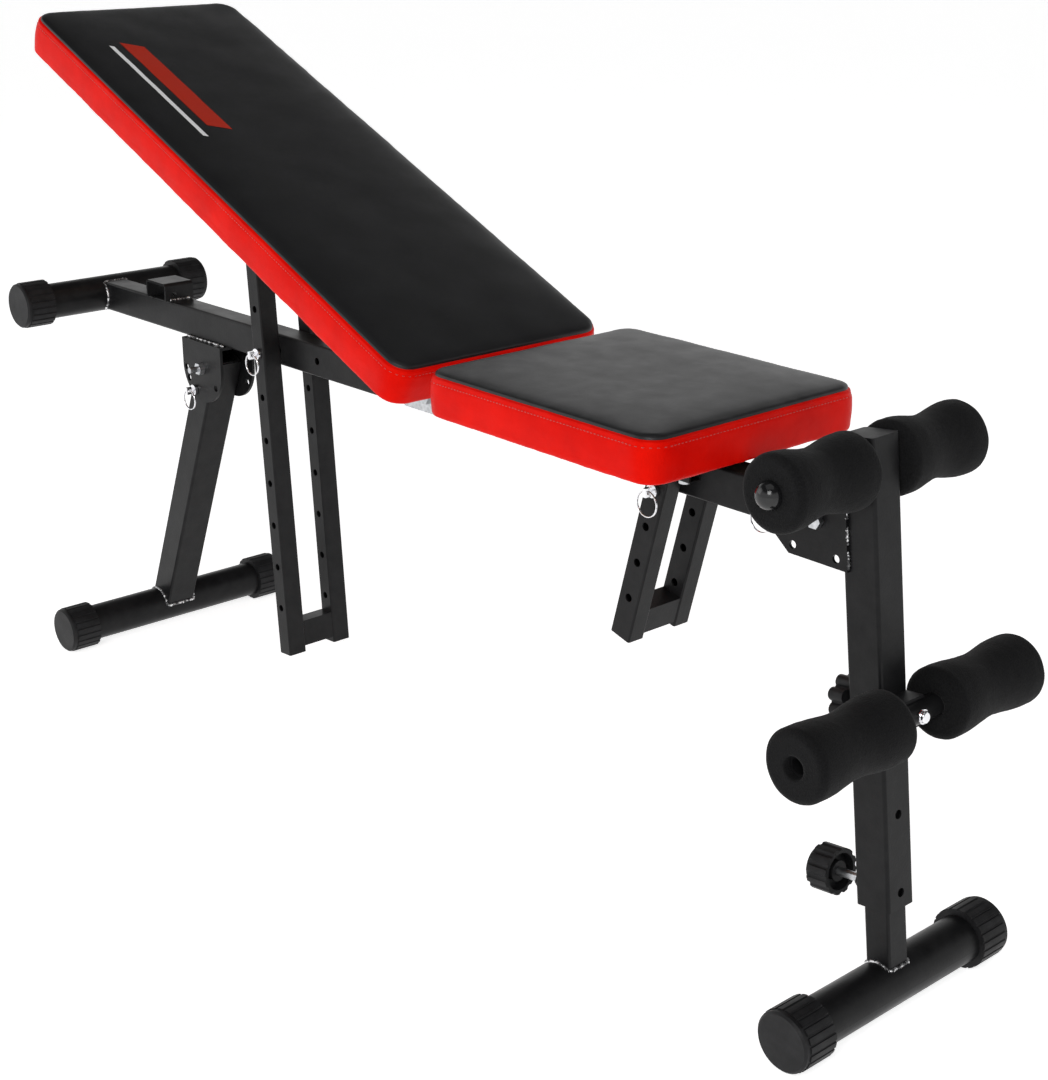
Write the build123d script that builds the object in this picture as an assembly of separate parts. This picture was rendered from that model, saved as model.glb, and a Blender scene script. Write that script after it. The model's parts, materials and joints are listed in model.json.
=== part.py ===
from build123d import *
import math
import os

# Decline sit up bench, in millimetres. +X runs from the rear cross tube to the
# leg hold post, +Y across the bench, +Z up. The origin is on the floor, below
# the middle of the whole bench.

# ---- driving dimensions ------------------------------------------------------
FRONT_X = 644.33         # front foot axis; every station is a distance behind it
FOOT_AXIS_Z = 27.8       # foot tubes: height of the axis above the floor


def station(behind):
    """X of a point that lies so far behind the front foot axis."""
    return FRONT_X - behind


# main beam: rises slightly towards the front
BEAM_WIDTH = 31.0
BEAM_DEPTH = 36.0
BEAM_WALL = 2.0
BEAM_REAR = (station(1297), 427.2)
BEAM_FRONT = (station(81), 437.2)
PLUG_FLANGE = 2.5
CORNER = 3.0             # outside corner radius of the bigger square tubes

# round cross tubes and their ribbed caps
REAR_BAR_R = 22.0
REAR_BAR_CAP_R = 28.5
REAR_BAR_HALF = 130.5
REAR_BAR_AXIS = (station(1297), 428.1)
FOOT_TUBE_R = 22.3
FOOT_CAP_R = 28.5
FOOT_WALL = 2.0
REAR_FOOT_AXIS = (station(1193.5), FOOT_AXIS_Z)
REAR_FOOT_HALF = 160.0
FRONT_FOOT_AXIS = (station(0), FOOT_AXIS_Z)
FRONT_FOOT_HALF = 141.0
CAP_LENGTH = 38.0
CAP_END = 4.0
CAP_RIBS = 22

# rear leg and the bracket that it folds in
LEG_PIVOT = (station(1043.5), 379.6)
LEG_WIDTH = 39.5
LEG_DEPTH = 37.0
EAR_INNER = 20.4
EAR_SHEET = 3.5
EAR_RADIUS = 42.0
LEG_PIN = (station(1061), 349.6)

# bridge bracket on top of the beam
BRIDGE_REAR = station(1170)
BRIDGE_FRONT = station(1125)
BRIDGE_HEIGHT = 21.0
BRIDGE_WIDTH = 39.0
BRIDGE_SHEET = 3.0

# hinge of both pads
PAD_HINGE = (station(497), 474.6)
HINGE_ROD_R = 4.0
HINGE_ROD_HALF = 59.0
HINGE_PLATE_SHEET = 3.0
HINGE_PLATE_REAR = station(653)
HINGE_PLATE_FRONT = station(455)
HINGE_EYE_R = 7.5
PAD_WIDTH = 270.0
PAD_CORNER = 24.0
BOARD_INSET = 6.0
SKIRT = 3.5              # how far a pad hangs below its board
CROWN_R = 12.0           # rounding of the top edge
BOARD_THICK = 10.0
RAIL_WIDTH = 15.0
RAIL_DEPTH = 22.0
RAIL_WALL = 1.8
RAIL_INNER = 43.5        # inner face of a pad rail, from the mid plane
LUG_SHEET = 4.0

# backrest, in a frame that starts at the hinge and climbs rearwards
BACK_ANGLE = 23.3
BACK_START = 21.0
BACK_LENGTH = 738.0
BACK_BOTTOM = -21.4
BACK_THICK = 39.0
BACK_RAIL = (30.0, 640.0)
BACK_CROSS = (120.0, 560.0)
BACK_LADDER_AT = 426.6

# seat, in a frame that starts at the hinge and runs forwards
SEAT_START = 21.0
SEAT_LENGTH = 302.0
SEAT_BOTTOM = -4.0
SEAT_THICK = 38.0
SEAT_RAIL = (35.0, 294.0)
SEAT_CROSS = (90.0, 278.0)
SEAT_LADDER_AT = 244.0

# ladders: two rails each side of the beam
LADDER_INNER = 20.2
LADDER_WALL = 1.8
LADDER_HOLE_R = 4.0
BACK_LADDER_DIRECTION = (0.0711, -0.9975)
BACK_LADDER_WIDTH = 23.0
BACK_LADDER_DEPTH = 21.6
BACK_LADDER_LENGTH = 545.0
BACK_LADDER_PITCH = 50.6
BACK_LADDER_PINNED = 183.9
BACK_LADDER_HOLES = range(-2, 7)
BACK_LADDER_CROSS = (507.0, 538.0)
SEAT_LADDER_DIRECTION = (-0.2557, -0.9668)
SEAT_LADDER_WIDTH = 20.0
SEAT_LADDER_DEPTH = 25.0
SEAT_LADDER_LENGTH = 196.0
SEAT_LADDER_PITCH = 38.7
SEAT_LADDER_PINNED = 36.2
SEAT_LADDER_HOLES = range(0, 4)
SEAT_LADDER_CROSS = (164.0, 191.0)

# front post: leans forward on its way down to the foot
POST_DIRECTION = (-0.1231, 0.9924)
POST_WIDTH = 34.5
POST_DEPTH = 35.5
POST_WALL = 1.8
POST_BOTTOM = 75.0       # along the post, from the foot axis
POST_TOP = 489.0
INNER_WIDTH = 25.6
INNER_DEPTH = 26.4
INNER_TOP = 240.0
INNER_PITCH = 25.0
LOCK_KNOB_AT = 89.7
SPARE_HOLE_AT = 162.0
LOWER_BAR_AT = 256.7
UPPER_BAR_AT = 465.3
LOWER_BAR_AHEAD = 36.1
POST_PIVOT = (station(92), 437.1)
POST_PIN = (station(145), 436.7)
GUSSET_SHEET = 3.0
GUSSET = [
    (station(57), 399.6),
    (station(121), 399.6),
    (station(158), 429.6),
    (station(158), 458.6),
    (station(64), 463.6),
]
GUSSET_SPARE_HOLES = [(station(117), 408.1), (station(70), 408.1)]

# rollers and their bars
UPPER_BAR_R = 9.5
UPPER_BAR_HALF = 118.0
UPPER_FOAM = (20.7, 121.0)
UPPER_FOAM_R = 32.5
UPPER_WAIST_R = 28.0
LOWER_BAR_R = 10.0
LOWER_BAR_HALF = 142.0
LOWER_FOAM_NEAR = (32.0, 150.0)
LOWER_FOAM_FAR = (28.0, 146.0)
LOWER_FOAM_R = 32.0
LOWER_WAIST_R = 28.5
FOAM_EDGE = 7.0
BALL_R = 12.2

# hand knobs
STAR_LOBES = 7
STAR_LOBE_AT = 15.5
STAR_LOBE_R = 6.0
CUP_R = 21.5
CUP_FLUTES = 12
CUP_START = 32.0
CUP_LENGTH = 25.0
CUP_RECESS = 9.0
SHANK_LENGTH = 50.0

# pull pins
PIN_R = 4.0
PIN_RING_R = 11.4
PIN_WIRE_R = 1.2
RUNNING = 0.05           # radial clearance of every bore that turns or slides
EASY = 0.2               # radial clearance of bolt holes

os.makedirs("parts", exist_ok=True)
nodes = {}


# ---- shared shapes -----------------------------------------------------------
def beam_point(x, above=0.0):
    """Point of the side view at x, so far above the beam's axis."""
    rise = (BEAM_FRONT[1] - BEAM_REAR[1]) / (BEAM_FRONT[0] - BEAM_REAR[0])
    return (x, BEAM_REAR[1] + rise * (x - BEAM_REAR[0]) + above * math.hypot(1, rise))


def across(outline, y0, y1):
    """Plate: a closed (x, z) outline of the side view, from y0 to y1."""
    edge = Polyline(*[(x, y0, z) for x, z in outline], close=True)
    return extrude(make_face(edge), amount=y1 - y0, dir=(0, 1, 0))


def rod(point, radius, y0, y1):
    """Round bar along Y through an (x, z) point."""
    start = Plane(origin=(point[0], y0, point[1]), x_dir=(1, 0, 0), z_dir=(0, 1, 0))
    return extrude(start * Circle(radius), amount=y1 - y0)


def pipe(point, radius, bore, y0, y1):
    return rod(point, radius, y0, y1) - rod(point, bore, y0 - 1, y1 + 1)


def side_plane(point, direction, y=0.0):
    """Plane at (x, y, z) whose normal is the side view direction; its x is +Y."""
    return Plane(
        origin=(point[0], y, point[1]), x_dir=(0, 1, 0), z_dir=(direction[0], 0, direction[1])
    )


def tube(plane, width, depth, wall, start, end, corner=2.0):
    """Rectangular tube along a plane's normal; width is along Y."""
    outside = extrude(plane.offset(start) * RectangleRounded(width, depth, corner), amount=end - start)
    hollow = RectangleRounded(width - 2 * wall, depth - 2 * wall, max(corner - wall, 0.4))
    return outside - extrude(plane.offset(start - 1) * hollow, amount=end - start + 2)


def box_in(plane, x, y, z):
    """Box given by its (low, high) spans along a plane's own axes."""
    size = [high - low for low, high in (x, y, z)]
    middle = [(low + high) / 2 for low, high in (x, y, z)]
    return plane.location * Pos(*middle) * Box(*size)


def mirrored(shape):
    return mirror(shape, about=Plane.XZ)


def pair(shape):
    """A piece and its mirror image on the other side of the bench."""
    return Compound([shape, mirrored(shape)])


def hex_nut(point, flats, y0, y1):
    start = Plane(origin=(point[0], y0, point[1]), x_dir=(1, 0, 0), z_dir=(0, 1, 0))
    return extrude(start * RegularPolygon(flats / 2, 6, major_radius=False), amount=y1 - y0)


def cross_bolt(point, radius, half_grip, spare=3.5):
    """Hex bolt along Y with its nut, as one clamped fastener."""
    shank = rod(point, radius, -half_grip, half_grip)
    head = hex_nut(point, 3.25 * radius, -half_grip - 5.5, -half_grip)
    nut = hex_nut(point, 3.25 * radius, half_grip, half_grip + 6.5)
    thread = rod(point, radius - 0.4, half_grip + 6.5, half_grip + 6.5 + spare)
    return shank + head + nut + thread


def ribbed_cap(axis, radius, tube_radius, half, flat=False):
    """Cup that closes a round tube: ribbed skirt, smooth end face."""
    plane = Plane(origin=(axis[0], half - CAP_LENGTH, axis[1]), x_dir=(1, 0, 0), z_dir=(0, 1, 0))
    groove = Circle(radius * 0.045)
    skirt = Circle(radius) - PolarLocations(radius, CAP_RIBS) * groove
    cup = extrude(plane * skirt, amount=CAP_LENGTH - 6)
    cup += extrude(plane.offset(CAP_LENGTH - 6) * Circle(radius - 1.0), amount=6)
    cup = chamfer(cup.edges().sort_by(Axis.Y)[-1], 2.0)
    cup -= extrude(plane.offset(-1) * Circle(tube_radius + EASY), amount=CAP_LENGTH - CAP_END + 1)
    if flat:
        cup -= Pos(axis[0], half - CAP_LENGTH / 2, -5) * Box(4 * radius, 2 * CAP_LENGTH, 10)
    return cup


def pull_pin(point, outer_face, tip):
    """Pin drawn out along -Y: shank, collar, flat tang with an eye."""
    x, z = point
    shank = rod(point, PIN_R, outer_face - 4, tip)
    collar = rod(point, 6.5, outer_face - 4, outer_face - 0.6)
    tang = Pos(x, outer_face - 8.5, z) * Box(4, 9, 8.4)
    eye = Pos(x, outer_face - 9.2, z) * Rot(0, 90, 0) * Cylinder(2.2, 20)
    return shank + collar + (tang - eye)


def pin_ring(point, outer_face):
    """Split ring that hangs from a pull pin's eye."""
    centre = (point[0], outer_face - 9.2, point[1] - PIN_RING_R + 0.3)
    return Pos(*centre) * Rot(90, 0, 0) * Torus(PIN_RING_R, PIN_WIRE_R)


# ---- fixed frame -------------------------------------------------------------
BEAM = side_plane(
    BEAM_REAR, (BEAM_FRONT[0] - BEAM_REAR[0], BEAM_FRONT[1] - BEAM_REAR[1])
)
BEAM_LENGTH = math.dist(BEAM_REAR, BEAM_FRONT)


def unit_point(origin, direction, along):
    return (origin[0] + direction[0] * along, origin[1] + direction[1] * along)


back_up = math.radians(BACK_ANGLE)
BACK = Plane(
    origin=(PAD_HINGE[0], 0, PAD_HINGE[1]),
    x_dir=(-math.cos(back_up), 0, math.sin(back_up)),
    z_dir=(math.sin(back_up), 0, math.cos(back_up)),
)
SEAT = Plane(origin=(PAD_HINGE[0], 0, PAD_HINGE[1]), x_dir=(1, 0, 0), z_dir=(0, 0, 1))


def in_side_view(plane, x, z):
    """Side view (x, z) of a point given along a pad frame's own axes."""
    point = plane.location * Pos(x, 0, z)
    return (point.position.X, point.position.Z)


BACK_LADDER_PIVOT = in_side_view(BACK, BACK_LADDER_AT, BACK_BOTTOM - RAIL_DEPTH / 2)
SEAT_LADDER_PIVOT = in_side_view(SEAT, SEAT_LADDER_AT, SEAT_BOTTOM - RAIL_DEPTH / 2)
BACK_LOCK = unit_point(BACK_LADDER_PIVOT, BACK_LADDER_DIRECTION, BACK_LADDER_PINNED)
SEAT_LOCK = unit_point(SEAT_LADDER_PIVOT, SEAT_LADDER_DIRECTION, SEAT_LADDER_PINNED)
HINGE_PLATE_BOLTS = [beam_point(station(614)), beam_point(station(470))]


def main_beam():
    beam = tube(BEAM, BEAM_WIDTH, BEAM_DEPTH, BEAM_WALL, 0, BEAM_LENGTH, CORNER)
    beam -= rod(REAR_BAR_AXIS, REAR_BAR_R, -40, 40)
    holes = [BACK_LOCK, SEAT_LOCK, POST_PIN, beam_point(station(814))]
    for hole in holes + HINGE_PLATE_BOLTS:
        beam -= rod(hole, PIN_R + EASY, -40, 40)
    return beam - rod(POST_PIVOT, PIN_R + RUNNING, -40, 40)


def beam_end_plug():
    inside_width = BEAM_WIDTH - 2 * BEAM_WALL - 0.4
    inside_depth = BEAM_DEPTH - 2 * BEAM_WALL - 0.4
    flange = extrude(
        BEAM.offset(BEAM_LENGTH) * RectangleRounded(BEAM_WIDTH, BEAM_DEPTH, CORNER),
        amount=PLUG_FLANGE,
    )
    return flange + tube(BEAM, inside_width, inside_depth, 2, BEAM_LENGTH - 5, BEAM_LENGTH, 1)


def rear_cross_tube():
    half = REAR_BAR_HALF - CAP_END
    return pipe(REAR_BAR_AXIS, REAR_BAR_R, REAR_BAR_R - FOOT_WALL, -half, half)


def bridge_bracket():
    """Strip bent over the beam: a web at each end and a top between them."""
    base = beam_point(BRIDGE_REAR, BEAM_DEPTH / 2)
    base_front = beam_point(BRIDGE_FRONT, BEAM_DEPTH / 2)
    half = BRIDGE_WIDTH / 2
    outside = across(
        [
            base,
            base_front,
            (base_front[0], base_front[1] + BRIDGE_HEIGHT),
            (base[0], base_front[1] + BRIDGE_HEIGHT),
        ],
        -half,
        half,
    )
    outside = fillet(outside.edges().filter_by(Axis.Y).group_by(Axis.Z)[-1], 5)
    sheet = BRIDGE_SHEET
    inside = across(
        [
            (base[0] + sheet, base[1] - 5),
            (base_front[0] - sheet, base_front[1] - 5),
            (base_front[0] - sheet, base_front[1] + BRIDGE_HEIGHT - sheet),
            (base[0] + sheet, base_front[1] + BRIDGE_HEIGHT - sheet),
        ],
        -half - 1,
        half + 1,
    )
    hole = Pos(base_front[0], -7, base_front[1] + 8) * Rot(0, 90, 0) * Cylinder(3, 20)
    return outside - inside - hole


def leg_bracket():
    """Inverted U of sheet: a top under the beam and an ear on each side."""
    top = -BEAM_DEPTH / 2
    rear = LEG_PIVOT[0] - EAR_RADIUS
    front = LEG_PIVOT[0] + EAR_RADIUS
    outer = EAR_INNER + EAR_SHEET
    ear = across(
        [
            beam_point(rear, top),
            beam_point(front, top),
            (front, LEG_PIVOT[1]),
            (rear, LEG_PIVOT[1]),
        ],
        EAR_INNER,
        outer,
    )
    ear += rod(LEG_PIVOT, EAR_RADIUS, EAR_INNER, outer)
    above = [beam_point(rear - 9, top), beam_point(front + 9, top), (front + 9, 500), (rear - 9, 500)]
    ear -= across(above, 0, 40)
    ear -= rod(LEG_PIVOT, PIN_R, 0, 40)
    lock_radius = math.dist(LEG_PIVOT, LEG_PIN)
    for degrees in (187, 210, 326):
        turn = math.radians(degrees)
        spot = (
            LEG_PIVOT[0] + lock_radius * math.cos(turn),
            LEG_PIVOT[1] + lock_radius * math.sin(turn),
        )
        ear -= rod(spot, PIN_R, 0, 40)
    ear -= rod(LEG_PIN, PIN_R + RUNNING, 0, 40)
    roof = across(
        [
            beam_point(rear, top),
            beam_point(front, top),
            beam_point(front, top - EAR_SHEET),
            beam_point(rear, top - EAR_SHEET),
        ],
        -EAR_INNER,
        EAR_INNER,
    )
    return ear + mirrored(ear) + roof


def hinge_plates():
    """Zinc plated side plates with the eyes that carry the hinge rod."""
    inner = BEAM_WIDTH / 2
    outer = inner + HINGE_PLATE_SHEET
    low = -BEAM_DEPTH / 2 + 1
    plate = across(
        [
            beam_point(HINGE_PLATE_REAR, low),
            beam_point(HINGE_PLATE_FRONT, low),
            beam_point(HINGE_PLATE_FRONT, BEAM_DEPTH / 2),
            (PAD_HINGE[0] + HINGE_EYE_R, beam_point(PAD_HINGE[0], BEAM_DEPTH / 2)[1]),
            (PAD_HINGE[0] + HINGE_EYE_R, PAD_HINGE[1]),
            (PAD_HINGE[0] - HINGE_EYE_R, PAD_HINGE[1]),
            (PAD_HINGE[0] - HINGE_EYE_R, beam_point(PAD_HINGE[0], BEAM_DEPTH / 2)[1]),
            beam_point(HINGE_PLATE_REAR, BEAM_DEPTH / 2),
        ],
        inner,
        outer,
    )
    plate += rod(PAD_HINGE, HINGE_EYE_R, inner, outer)
    plate -= rod(PAD_HINGE, HINGE_ROD_R + EASY / 2, 0, 40)
    for bolt in HINGE_PLATE_BOLTS:
        plate -= rod(bolt, PIN_R + EASY, 0, 40)
    plate -= rod(beam_point(station(629)), 2.5, inner, 40)
    return pair(plate)


def hinge_plate_bolts():
    grip = BEAM_WIDTH / 2 + HINGE_PLATE_SHEET
    return Compound([cross_bolt(bolt, PIN_R, grip) for bolt in HINGE_PLATE_BOLTS])


def headed_pin(point, radius, half, head_radius):
    """Riveted pin along Y: a low head on each end."""
    heads = rod(point, head_radius, -half - 2.5, -half) + rod(point, head_radius, half, half + 2.5)
    return rod(point, radius, -half, half) + heads


nodes["main_beam"] = main_beam()
nodes["beam_end_plug"] = beam_end_plug()
nodes["rear_cross_tube"] = rear_cross_tube()
nodes["rear_cross_caps"] = pair(
    ribbed_cap(REAR_BAR_AXIS, REAR_BAR_CAP_R, REAR_BAR_R, REAR_BAR_HALF)
)
nodes["bridge_bracket"] = bridge_bracket()
nodes["leg_bracket"] = leg_bracket()
nodes["leg_pivot_bolt"] = mirrored(cross_bolt(LEG_PIVOT, PIN_R, EAR_INNER + EAR_SHEET, 11))
nodes["pad_hinge_plates"] = hinge_plates()
nodes["hinge_plate_bolts"] = hinge_plate_bolts()
nodes["pad_hinge_rod"] = headed_pin(PAD_HINGE, HINGE_ROD_R, HINGE_ROD_HALF, 6.5)
nodes["post_pivot_bolt"] = cross_bolt(
    POST_PIVOT, PIN_R, POST_WIDTH / 2 + GUSSET_SHEET + 0.3
)


# ---- rear leg ----------------------------------------------------------------
def foot_tube(axis, half):
    end = half - CAP_END
    return pipe(axis, FOOT_TUBE_R, FOOT_TUBE_R - FOOT_WALL, -end, end)


def rear_leg_tube():
    reach = math.dist(LEG_PIVOT, REAR_FOOT_AXIS)
    direction = (REAR_FOOT_AXIS[0] - LEG_PIVOT[0], REAR_FOOT_AXIS[1] - LEG_PIVOT[1])
    leg = tube(side_plane(LEG_PIVOT, direction), LEG_WIDTH, LEG_DEPTH, 2, -14, reach, CORNER)
    leg -= rod(REAR_FOOT_AXIS, FOOT_TUBE_R, -40, 40)
    leg -= rod(LEG_PIN, PIN_R + EASY, -40, 40)
    return leg - rod(LEG_PIVOT, PIN_R + RUNNING, -40, 40)


nodes["rear_leg_tube"] = rear_leg_tube()
nodes["rear_foot_tube"] = foot_tube(REAR_FOOT_AXIS, REAR_FOOT_HALF)
nodes["rear_foot_caps"] = pair(
    ribbed_cap(REAR_FOOT_AXIS, FOOT_CAP_R, FOOT_TUBE_R, REAR_FOOT_HALF, flat=True)
)

# ---- front post and telescoping foot -----------------------------------------
# along the post: x is +Y, y is towards the rear, z is up the post
POST = side_plane(FRONT_FOOT_AXIS, POST_DIRECTION)
REAR_FACE = POST_DEPTH / 2


def on_post(along, rearward=0.0):
    """Side view point given along the post and rearward of its axis."""
    up = POST_DIRECTION
    return (
        FRONT_FOOT_AXIS[0] + up[0] * along - up[1] * rearward,
        FRONT_FOOT_AXIS[1] + up[1] * along + up[0] * rearward,
    )


def through_post(along, radius, start, end):
    """Round bar square to the post, from start to end rearward of its axis."""
    middle = POST.location * Pos(0, (start + end) / 2, along)
    return middle * Rot(90, 0, 0) * Cylinder(radius, end - start)


def post_tube():
    post = tube(POST, POST_WIDTH, POST_DEPTH, POST_WALL, POST_BOTTOM, POST_TOP, CORNER)
    post -= rod(on_post(UPPER_BAR_AT), UPPER_BAR_R + EASY / 2, -40, 40)
    for along in (LOCK_KNOB_AT, SPARE_HOLE_AT, LOWER_BAR_AT):
        post -= through_post(along, PIN_R + EASY, -40, 40)
    return post


def post_top_plug():
    cap = extrude(POST.offset(POST_TOP) * RectangleRounded(POST_WIDTH, POST_DEPTH, CORNER), amount=2.5)
    inside_width = POST_WIDTH - 2 * POST_WALL - 0.4
    inside_depth = POST_DEPTH - 2 * POST_WALL - 0.4
    return cap + tube(POST, inside_width, inside_depth, 2, POST_TOP - 12, POST_TOP, 1)


def post_gussets():
    inner = POST_WIDTH / 2
    plate = across(GUSSET, inner, inner + GUSSET_SHEET)
    plate -= rod(POST_PIVOT, PIN_R + RUNNING, 0, 40)
    plate -= rod(POST_PIN, PIN_R + RUNNING, 0, 40)
    for hole in GUSSET_SPARE_HOLES:
        plate -= rod(hole, 3.75, 0, 40)
    return pair(plate)


def guide_bush():
    """Plastic sleeve in the mouth of the outer tube."""
    width = POST_WIDTH - 2 * POST_WALL - 0.2
    depth = POST_DEPTH - 2 * POST_WALL - 0.2
    sleeve = extrude(POST.offset(POST_BOTTOM) * RectangleRounded(width, depth, 1.0), amount=8)
    bore = RectangleRounded(INNER_WIDTH + 0.2, INNER_DEPTH + 0.2, 2.0)
    return sleeve - extrude(POST.offset(POST_BOTTOM - 1) * bore, amount=12)


def upper_roller_bar():
    return pipe(on_post(UPPER_BAR_AT), UPPER_BAR_R, UPPER_BAR_R - 2, -UPPER_BAR_HALF, UPPER_BAR_HALF)


def upper_bar_balls():
    """Domed caps that keep the upper rollers on."""
    axis = on_post(UPPER_BAR_AT)
    start = UPPER_BAR_HALF + 3.5
    ball = rod(axis, UPPER_BAR_R, UPPER_BAR_HALF, start)
    dome = Pos(axis[0], start, axis[1]) * Sphere(BALL_R)
    dome = split(dome, bisect_by=Plane(origin=(0, start, 0), z_dir=(0, 1, 0)), keep=Keep.TOP)
    return pair(ball + dome)


LOWER_BAR_AXIS = on_post(LOWER_BAR_AT, -LOWER_BAR_AHEAD)


def lower_roller_bar():
    bar = pipe(LOWER_BAR_AXIS, LOWER_BAR_R, LOWER_BAR_R - 2, -LOWER_BAR_HALF, LOWER_BAR_HALF)
    return bar - through_post(LOWER_BAR_AT, PIN_R + EASY, -60, -20)


def lower_bar_saddle():
    """Plastic block between the post and the lower bar."""
    block = box_in(
        POST,
        (-15, 15),
        (-LOWER_BAR_AHEAD, -REAR_FACE),
        (LOWER_BAR_AT - 13, LOWER_BAR_AT + 13),
    )
    block -= rod(LOWER_BAR_AXIS, LOWER_BAR_R + EASY / 2, -40, 40)
    block -= through_post(LOWER_BAR_AT, PIN_R + EASY, -60, 0)
    return block


def lower_bar_bolt():
    """Domed chrome bolt: head ahead of the bar, tip in the star knob."""
    head_at = -LOWER_BAR_AHEAD - LOWER_BAR_R - 0.2
    shank = through_post(LOWER_BAR_AT, PIN_R, head_at, REAR_FACE + 16)
    washer = through_post(LOWER_BAR_AT, 6.4, head_at - 1.2, head_at)
    head = through_post(LOWER_BAR_AT, 5.4, head_at - 4.6, head_at - 1.2)
    head = fillet(head.edges().group_by(Axis.X)[-1], 2.0)
    return shank + washer + head


def lock_nut():
    """Nut welded on the back of the post for the fluted knob."""
    face = POST.location * Pos(0, REAR_FACE, LOCK_KNOB_AT) * Rot(-90, 0, 0)
    nut = face * extrude(RegularPolygon(7.5, 6, major_radius=False), amount=8)
    return nut - through_post(LOCK_KNOB_AT, PIN_R + RUNNING, 0, 60)


def inner_post_tube():
    inner = tube(POST, INNER_WIDTH, INNER_DEPTH, 2, 0, INNER_TOP, 2.5)
    inner -= rod(FRONT_FOOT_AXIS, FOOT_TUBE_R, -40, 40)
    for step in range(6):
        along = LOCK_KNOB_AT + step * INNER_PITCH
        inner -= through_post(along, PIN_R + EASY, -40, 40)
    return inner


nodes["post_tube"] = post_tube()
nodes["post_top_plug"] = post_top_plug()
nodes["post_gussets"] = post_gussets()
nodes["post_guide_bush"] = guide_bush()
nodes["upper_roller_bar"] = upper_roller_bar()
nodes["upper_bar_balls"] = upper_bar_balls()
nodes["lower_roller_bar"] = lower_roller_bar()
nodes["lower_bar_saddle"] = lower_bar_saddle()
nodes["lower_bar_bolt"] = lower_bar_bolt()
nodes["post_lock_nut"] = lock_nut()
nodes["inner_post_tube"] = inner_post_tube()
nodes["front_foot_tube"] = foot_tube(FRONT_FOOT_AXIS, FRONT_FOOT_HALF)
nodes["front_foot_caps"] = pair(
    ribbed_cap(FRONT_FOOT_AXIS, FOOT_CAP_R, FOOT_TUBE_R, FRONT_FOOT_HALF, flat=True)
)


# ---- rollers and knobs -------------------------------------------------------
def foam_roller(axis, bore, span, end_r, waist_r):
    """Foam sleeve: full near both ends, drawn in at the waist."""
    start, end = span
    length = end - start
    outside = Spline((end_r, 0), (end_r, length * 0.2), (waist_r, length / 2), (end_r, length * 0.8), (end_r, length))
    rest = Polyline((end_r, length), (bore, length), (bore, 0), (end_r, 0))
    foam = revolve(make_face([outside, rest]), axis=Axis.Y)
    rims = [edge for edge in foam.edges().filter_by(GeomType.CIRCLE) if edge.radius > bore + 5]
    return Pos(axis[0], start, axis[1]) * fillet(rims, FOAM_EDGE)


def star_knob():
    """Lobed knob with a short hub, threaded on the clamp bolt's tip."""
    start = REAR_FACE + 1.0
    face = POST.location * Pos(0, start, LOWER_BAR_AT) * Rot(-90, 0, 0)
    lobes = Circle(STAR_LOBE_AT) + PolarLocations(STAR_LOBE_AT, STAR_LOBES) * Circle(STAR_LOBE_R)
    star = Pos(0, 0, 4) * extrude(lobes, amount=16)
    star = fillet(star.faces().sort_by(Axis.Z)[-1].edges(), 2.0)
    knob = extrude(Circle(9), amount=4) + star
    return face * (knob - Pos(0, 0, 7.5) * Cylinder(PIN_R + RUNNING, 17))


def lock_knob():
    """Fluted cup knob, open towards the post, with a hub inside."""
    face = lock_knob_plane()
    flutes = Circle(CUP_R) - PolarLocations(CUP_R + 1.6, CUP_FLUTES) * Circle(3.4)
    cup = Pos(0, 0, CUP_START) * extrude(flutes, amount=CUP_LENGTH - 3)
    cup += Pos(0, 0, CUP_START + CUP_LENGTH - 3) * extrude(Circle(CUP_R - 2.2), amount=3)
    cup = fillet(cup.faces().sort_by(Axis.Z)[-1].edges(), 2.5)
    cup -= Pos(0, 0, CUP_START) * extrude(Circle(CUP_R - 4.5), amount=CUP_RECESS)
    hub = Pos(0, 0, CUP_START + 2) * extrude(Circle(9.5), amount=CUP_RECESS - 2)
    return face * (cup + hub - extrude(Circle(PIN_R), amount=SHANK_LENGTH))


def lock_knob_plane():
    """Plane at the tip of the knob's shank; its normal points rearwards."""
    return POST.location * Pos(0, REAR_FACE - 1.6, LOCK_KNOB_AT) * Rot(-90, 0, 0)


def lock_knob_shank():
    return lock_knob_plane() * extrude(Circle(PIN_R), amount=SHANK_LENGTH)


for level, axis, bore, far, near, end_r, waist_r in (
    ("upper", on_post(UPPER_BAR_AT), UPPER_BAR_R, UPPER_FOAM, UPPER_FOAM,
     UPPER_FOAM_R, UPPER_WAIST_R),
    ("lower", LOWER_BAR_AXIS, LOWER_BAR_R, LOWER_FOAM_FAR, LOWER_FOAM_NEAR,
     LOWER_FOAM_R, LOWER_WAIST_R),
):
    nodes[f"{level}_roller_far"] = foam_roller(axis, bore + RUNNING, far, end_r, waist_r)
    nodes[f"{level}_roller_near"] = mirrored(foam_roller(axis, bore + RUNNING, near, end_r, waist_r))

nodes["star_knob"] = star_knob()
nodes["lock_knob"] = lock_knob()
nodes["lock_knob_shank"] = lock_knob_shank()


# ---- pads, their boards, rails and hinge lugs --------------------------------
def pad(plane, start, length, bottom, thick):
    """Upholstered pad, hollowed underneath for its board."""
    centre = start + length / 2
    block = extrude(
        plane.offset(bottom - SKIRT) * Pos(centre, 0) * RectangleRounded(length, PAD_WIDTH, PAD_CORNER),
        amount=thick + SKIRT,
    )
    top = block.faces().sort_by(Axis(plane.origin, plane.z_dir))[-1]
    block = fillet(top.edges(), CROWN_R)
    inset = 2 * BOARD_INSET - 0.6
    pocket = RectangleRounded(length - inset, PAD_WIDTH - inset, PAD_CORNER - BOARD_INSET)
    hollow = extrude(
        plane.offset(bottom - SKIRT - 1) * Pos(centre, 0) * pocket, amount=BOARD_THICK + SKIRT + 1.3
    )
    return block - hollow


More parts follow.
